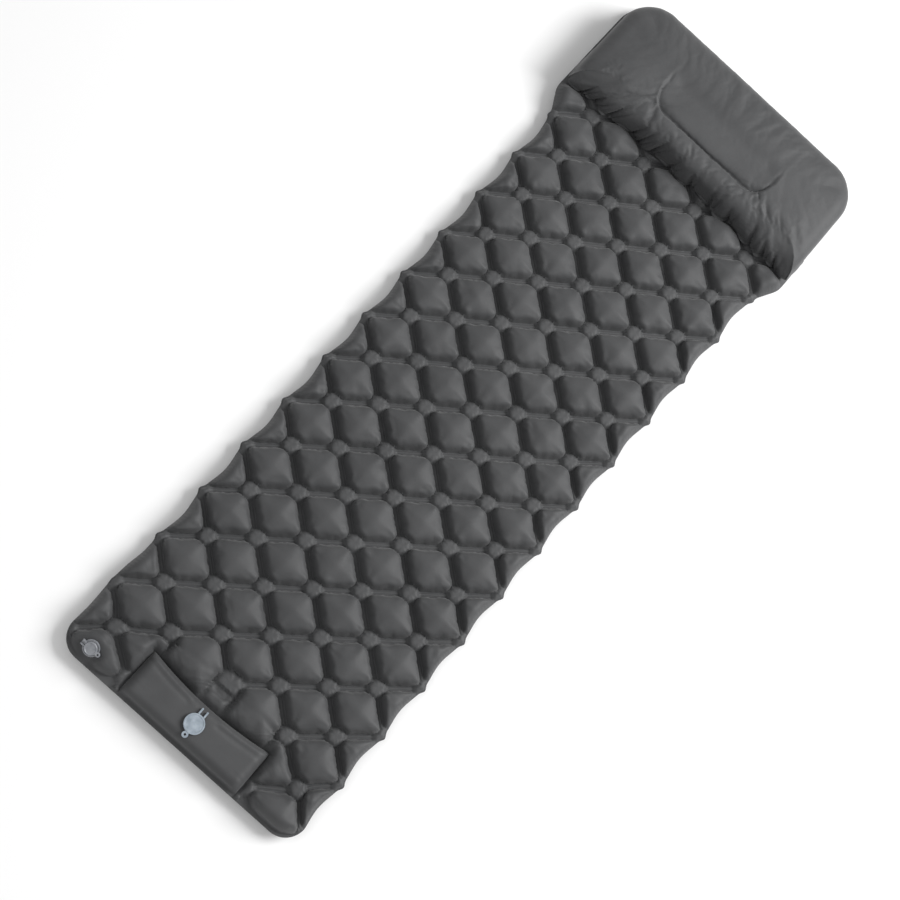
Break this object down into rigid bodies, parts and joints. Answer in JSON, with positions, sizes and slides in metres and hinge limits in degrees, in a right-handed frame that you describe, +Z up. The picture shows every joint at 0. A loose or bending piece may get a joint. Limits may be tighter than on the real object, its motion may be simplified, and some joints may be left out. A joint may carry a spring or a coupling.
{
  "type": "inflatable sleeping pad",
  "caption": "Diamond-quilted inflatable sleeping pad with a raised built-in pillow, a foot pump pocket with its own valve, and a deflation valve at one foot corner.",
  "frame": {"origin": "centre of the pad's footprint on the ground", "axes": "+Y along the pad from the foot to the pillow, +X to the right seen from above with the pillow up, +Z up"},
  "size_m": [0.654, 1.9, 0.105],
  "materials": {
    "pad_fabric": "matt coated nylon",
    "base_fabric": "matt coated nylon",
    "tpu_film": "smooth film",
    "foam": "open-cell foam",
    "silicone": "smooth",
    "valve_plastic": "satin translucent"
  },
  "bodies": {
    "pad": {"mattress_top_sheet": "pad_fabric", "mattress_bottom_sheet": "base_fabric", "pillow_panel": "pad_fabric", "pillow_tie_web": "tpu_film", "pump_floor_sheet": "base_fabric", "pump_foam": "foam", "pump_check_sleeve": "tpu_film", "main_valve_flange": "valve_plastic", "main_valve_seat": "valve_plastic", "main_valve_insert_strap": "valve_plastic"},
    "pump_top": {"pump_cover": "pad_fabric", "pump_valve_flange": "valve_plastic", "pump_valve_seat": "valve_plastic", "pump_valve_strap": "valve_plastic"},
    "pump_lid": {"pump_valve_cap": "valve_plastic"},
    "pump_flap": {"pump_valve_diaphragm": "silicone"},
    "main_insert": {"main_valve_insert": "valve_plastic", "main_valve_cap_strap": "valve_plastic"},
    "main_lid": {"main_valve_cap": "valve_plastic"},
    "main_flap": {"main_valve_diaphragm": "silicone"}
  },
  "joints": [
    {"name": "pump_press", "type": "slide", "parent": "pad", "child": "pump_top", "axis": [0, 0, -1], "range_m": [0, 0.032], "stiffness_N_per_m": 6000, "deforming": ["pump_foam"]},
    {"name": "pump_lid_hinge", "type": "hinge", "parent": "pump_top", "child": "pump_lid", "pos_m": [0, -0.8625, 0.0547], "axis": [-1, 0, 0], "range_deg": [0, 140], "deforming": ["pump_valve_strap"]},
    {"name": "pump_flap_lift", "type": "slide", "parent": "pump_top", "child": "pump_flap", "axis": [0, 0, -1], "range_m": [0, 0.0022], "stiffness_N_per_m": 40},
    {"name": "main_insert_hinge", "type": "hinge", "parent": "pad", "child": "main_insert", "pos_m": [-0.257, -0.91506, 0.04484], "axis": [0, -0.866, -0.5], "range_deg": [0, 65], "deforming": ["main_valve_insert_strap"]},
    {"name": "main_lid_hinge", "type": "hinge", "parent": "main_insert", "child": "main_lid", "pos_m": [-0.257, -0.91634, 0.04705], "axis": [0, -0.866, -0.5], "range_deg": [0, 110], "deforming": ["main_valve_cap_strap"]},
    {"name": "main_flap_lift", "type": "slide", "parent": "main_insert", "child": "main_flap", "axis": [0, 0.5, -0.866], "range_m": [0, 0.0018], "stiffness_N_per_m": 30}
  ]
}
